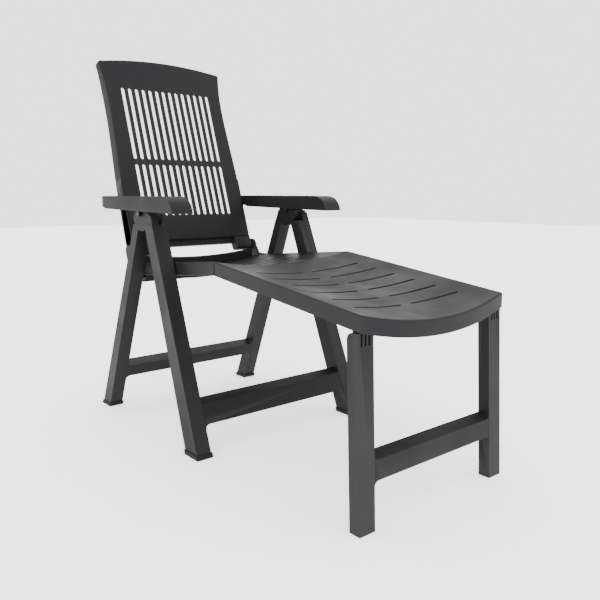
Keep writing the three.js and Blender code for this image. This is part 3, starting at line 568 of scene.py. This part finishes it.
class Workshop:
    """Makes objects from meshes, dresses them and ties them to the moving frame."""

    def __init__(self, frame: dict) -> None:
        """Keeps the frame and builds every finish once.
        """
        self.frame = frame
        self.finishes: dict[Surface, bpy.types.Material] = {k: f.material() for k, f in FINISHES.items()}
        self.steel = BlackSteel().material()

    def piece(
        self, name: str, bm: bmesh.types.BMesh, body: str, surface: Surface, slot: str = "resin"
    ) -> bpy.types.Object:
        """Turns a bmesh into a dressed piece that moves with a body.

        Args:
            name: The piece's name.
            bm: The shape, in metres, in place; it is freed.
            body: The body that the piece rides on.
            surface: The finish it gets.
            slot: Not used.

        Returns:
            The new object.
        """
        mesh = bpy.data.meshes.new(name)
        bm.to_mesh(mesh)
        bm.free()
        obj = bpy.data.objects.new(name, mesh)
        bpy.context.scene.collection.objects.link(obj)
        mesh.materials.append(self.finishes[surface])
        mesh.shade_smooth()
        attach(obj, body)
        LOG.info("%s: %d faces on %s", name, len(mesh.polygons), body)
        return obj

    def round_edges(
        self, obj: bpy.types.Object, width_mm: float, segments: int = 3, angle: float = 32.0
    ) -> None:
        """Rounds a piece's sharp edges.

        Args:
            obj: The piece.
            width_mm: How wide the rounding is.
            segments: How many faces it has across.
            angle: Edges sharper than this many degrees are rounded.
        """
        bevel = obj.modifiers.new("edges", "BEVEL")
        bevel.width = width_mm * MM
        bevel.segments = segments
        bevel.limit_method = "ANGLE"
        bevel.angle_limit = math.radians(angle)
        bevel.miter_outer = "MITER_ARC"
        bevel.use_clamp_overlap = True
        bevel.harden_normals = True

    def cut_copy(self, name: str, node: str, *cuts: tuple[Vector, Vector]) -> bpy.types.Object:
        """Makes a piece from the part of a node that lies on one side of each plane.

        Args:
            name: The new piece's name.
            node: The node; its body has the same name.
            cuts: For each plane, a point on it and the way to the side that is cut off.

        Returns:
            The new object.
        """
        bm = bmesh.new()
        bm.from_mesh(self.frame["nodes"][node].data)
        bmesh.ops.remove_doubles(bm, verts=bm.verts, dist=2e-5)
        for at, away in cuts:
            everything = [*bm.verts, *bm.edges, *bm.faces]
            cut = bmesh.ops.bisect_plane(bm, geom=everything, plane_co=at, plane_no=away, clear_outer=True)
            rim = [e for e in cut["geom_cut"] if isinstance(e, bmesh.types.BMEdge)]
            bmesh.ops.holes_fill(bm, edges=rim, sides=0)
        bmesh.ops.dissolve_limit(
            bm, angle_limit=math.radians(0.3), use_dissolve_boundaries=False, verts=bm.verts, edges=bm.edges
        )
        return self.piece(name, bm, node, Surface.SEAT_FACE)

    def rounded_copy(
        self,
        name: str,
        node: str,
        body: str,
        surface: Surface,
        width_mm: float,
        slot: str = "resin",
        rims: tuple["Rim", ...] = (),
    ) -> bpy.types.Object:
        """Makes a copy of a frame node with its flat faces joined and its edges rounded.

        Args:
            name: The new piece's name.
            node: The node that it stands for.
            body: The body it rides on.
            surface: Its finish.
            width_mm: The width of the rounding on ordinary edges.
            slot: The record's material slot.
            rims: The edges that get a larger rounding, and how large.

        Returns:
            The new object.
        """
        bm = bmesh.new()
        bm.from_mesh(self.frame["nodes"][node].data)
        bmesh.ops.remove_doubles(bm, verts=bm.verts, dist=2e-5)
        bmesh.ops.dissolve_limit(
            bm, angle_limit=math.radians(0.3), use_dissolve_boundaries=False, verts=bm.verts, edges=bm.edges
        )
        for rim in rims:
            rim.round(bm)
        obj = self.piece(name, bm, body, surface, slot)
        self.round_edges(obj, width_mm)
        shading = obj.modifiers.new("shading", "WEIGHTED_NORMAL")
        shading.weight = 100
        shading.keep_sharp = False
        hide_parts(node)
        return obj


@dataclass
class Studio:
    """The floor, the lights and the camera."""

    camera_at: tuple[float, float, float] = (-1.0993, -1.4625, 0.6779)
    camera_aim: tuple[float, float, float] = (0.629, 0.760, -0.162)
    lens_mm: float = 39.24

    def build(self) -> None:
        """Sets up everything that isn't part of the lounger."""
        self._floor()
        self._lights()
        self._camera()

    def _floor(self) -> None:
        """Lays the pale floor."""
        bm = bmesh.new()
        bmesh.ops.create_grid(bm, x_segments=2, y_segments=2, size=12.0)
        mesh = bpy.data.meshes.new("floor")
        bm.to_mesh(mesh)
        bm.free()
        floor = bpy.data.objects.new("floor", mesh)
        bpy.context.scene.collection.objects.link(floor)
        mat = bpy.data.materials.new("floor_paper")
        mat.use_nodes = True
        shader = mat.node_tree.nodes["Principled BSDF"]
        shader.inputs["Base Color"].default_value = (0.95, 0.95, 0.95, 1.0)
        shader.inputs["Roughness"].default_value = 0.9
        shader.inputs["Emission Color"].default_value = (1.0, 1.0, 1.0, 1.0)
        shader.inputs["Emission Strength"].default_value = 1.1
        mesh.materials.append(mat)

    def _lights(self) -> None:
        """Hangs a soft key, a fill and a pale sky."""
        world = bpy.data.worlds.new("studio")
        world.use_nodes = True
        world.node_tree.nodes["Background"].inputs["Color"].default_value = (1.0, 1.0, 1.0, 1.0)
        world.node_tree.nodes["Background"].inputs["Strength"].default_value = 2.4
        bpy.context.scene.world = world
        self._area("key", (-1.2, -2.2, 3.4), 2.2, 16.0)
        self._area("fill", (-3.2, 0.6, 1.8), 2.0, 3.0)
        self._area("front", (1.0, -3.6, 1.2), 2.0, 4.0)

    def _area(self, name: str, at: tuple[float, float, float], size: float, power: float) -> None:
        """Adds a square light that looks at the lounger.

        Args:
            name: The light's name.
            at: Where it hangs.
            size: Its side in metres.
            power: Its power in watts.
        """
        light = bpy.data.lights.new(name, "AREA")
        light.size = size
        light.energy = power
        obj = bpy.data.objects.new(name, light)
        obj.location = at
        aim = Vector((0.0, 0.0, 0.5)) - Vector(at)
        obj.rotation_euler = aim.to_track_quat("-Z", "Y").to_euler()
        bpy.context.scene.collection.objects.link(obj)

    def _camera(self) -> None:
        """Places the camera."""
        cam = bpy.data.cameras.new("camera")
        cam.lens = self.lens_mm
        cam.sensor_width = 36.0
        cam.clip_start = 0.05
        obj = bpy.data.objects.new("camera", cam)
        obj.location = self.camera_at
        obj.rotation_euler = Vector(self.camera_aim).to_track_quat("-Z", "Y").to_euler()
        bpy.context.scene.collection.objects.link(obj)
        bpy.context.scene.camera = obj


@dataclass
class LegFrames:
    """The crossed leg frames, the footrest's frame and their feet."""

    shop: Workshop

    def build(self) -> None:
        """Makes rounded frames and caps."""
        self.shop.rounded_copy("front_legs_look", "front_leg_frame", "front_legs", Surface.FRAME, 2.5)
        self.shop.rounded_copy("rear_legs_look", "rear_leg_frame", "rear_legs", Surface.FRAME, 2.5)
        self.shop.rounded_copy(
            "footrest_legs_look", "footrest_leg_frame", "footrest_legs", Surface.FRAME, 2.5
        )
        for end, body in (("front", "front_legs"), ("rear", "rear_legs")):
            for side in ("left", "right"):
                node = f"{end}_foot_{side}"
                self.shop.rounded_copy(f"{node}_look", node, body, Surface.FOOT, 1.2, "foot_resin")


@dataclass
class Skins:
    """The seat, the backrest, the footrest and the armrests."""

    shop: Workshop
    shift: float = 0.0195052
    half_width: float = 0.233

    def build(self) -> None:
        """Makes them."""
        self._seat()
        self._footrest()
        self._backrest()
        for side in ("left", "right"):
            node = f"armrest_{side}"
            self.shop.rounded_copy(f"{node}_look", node, node, Surface.FRAME, 3.0)

    def _outline_test(
        self, dish: Dish, front: float, front_bow: float, rear: float, rear_bow: float
    ) -> EdgeTest:
        """Makes the test for the outer top edge of a dished skin.

        Args:
            dish: The top surface.
            front: The front edge's place at the sides, metres.
            front_bow: How far its middle bows towards the back.
            rear: The rear edge's place at the sides.
            rear_bow: How far its middle bows towards the back.

        Returns:
            The test.
        """

        def bowed(at: float, bow: float, x: float) -> float:
            return at + bow * (1.0 - (x / self.half_width) ** 2)

        def outer(co: Vector) -> bool:
            side = abs(co.x) > self.half_width - 0.0004
            ahead = co.y < bowed(front, front_bow, co.x) + 0.0006
            behind = co.y > bowed(rear, rear_bow, co.x) - 0.0006
            return side or ahead or behind

        def test(edge: bmesh.types.BMEdge) -> bool:
            return dish.on_top(edge) and all(outer(v.co) for v in edge.verts)

        return test

    def _seat(self) -> None:
        """Makes the seat."""
        front = self.shift + SEAT_FRONT
        dish = Dish(self.half_width, SKIN_SAG, -SEAT_FALL, SEAT_FRONT_TOP + SEAT_FALL * front)
        test = self._outline_test(dish, front, SEAT_BOW, BEYOND_THE_REAR, 0.0)
        self.shop.rounded_copy("seat_look", "seat", "seat", Surface.SEAT_FACE, 1.0, rims=(Rim(test, 5.0),))

    def _footrest(self) -> None:
        """Makes the footrest."""
        seat_front = self.shift + SEAT_FRONT
        rear = seat_front - FOOTREST_GAP
        front = rear - FOOTREST_LENGTH
        top = SEAT_FRONT_TOP - FOOTREST_FALL * seat_front
        dish = Dish(self.half_width, SKIN_SAG, FOOTREST_FALL, top)
        test = self._outline_test(dish, front, -FOOTREST_BOW, rear, SEAT_BOW)
        self.shop.rounded_copy(
            "footrest_look", "footrest", "footrest", Surface.SEAT_FACE, 1.0, rims=(Rim(test, 5.0),)
        )

    def _backrest(self) -> None:
        """Makes the backrest."""
        plane = BackPlane.of(self.shop.frame["nodes"]["backrest"].data, 18.4)

        shape = BackShape(plane)
        panel = self.shop.piece("backrest_look", shape.panel(), "backrest", Surface.SEAT_FACE)
        wall = panel.modifiers.new("wall", "SOLIDIFY")
        wall.thickness = shape.skin * MM
        wall.offset = -1.0
        wall.use_even_offset = True
        self.shop.round_edges(panel, 0.8, segments=2)
        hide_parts("backrest")
        ribs = self.shop.piece("backrest_ribs", shape.ribs(), "backrest", Surface.SEAT_FACE)
        self.shop.round_edges(ribs, 0.6, segments=2)
        foot = self.shop.cut_copy("backrest_foot", "backrest", (plane.point(0.0, 0.0, -0.5), plane.up()))
        below = (plane.point(0.0, 0.0, 300.0), plane.up())
        side, inward = Vector(((shape.half - 0.5) * MM, 0.0, 0.0)), Vector((-1.0, 0.0, 0.0))
        left = self.shop.cut_copy("backrest_boss_left", "backrest", below, (side, inward))
        right = self.shop.cut_copy("backrest_boss_right", "backrest", below, (-side, -inward))
        for obj in (foot, left, right):
            self.shop.round_edges(obj, 1.0)


def dress_pins(shop: Workshop) -> None:
    """Gives the steel pins their finish.

    Args:
        shop: The workshop.
    """
    for name, node in shop.frame["nodes"].items():
        if "_pin_" in name or "_peg_" in name:
            node.data.materials.clear()
            node.data.materials.append(shop.steel)


def main() -> None:
    """Builds the whole scene."""
    logging.basicConfig(level=logging.INFO, format="%(name)s: %(message)s")
    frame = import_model()
    Studio().build()
    shop = Workshop(frame)
    LegFrames(shop).build()
    Skins(shop).build()
    dress_pins(shop)


if __name__ == "__main__":
    main()
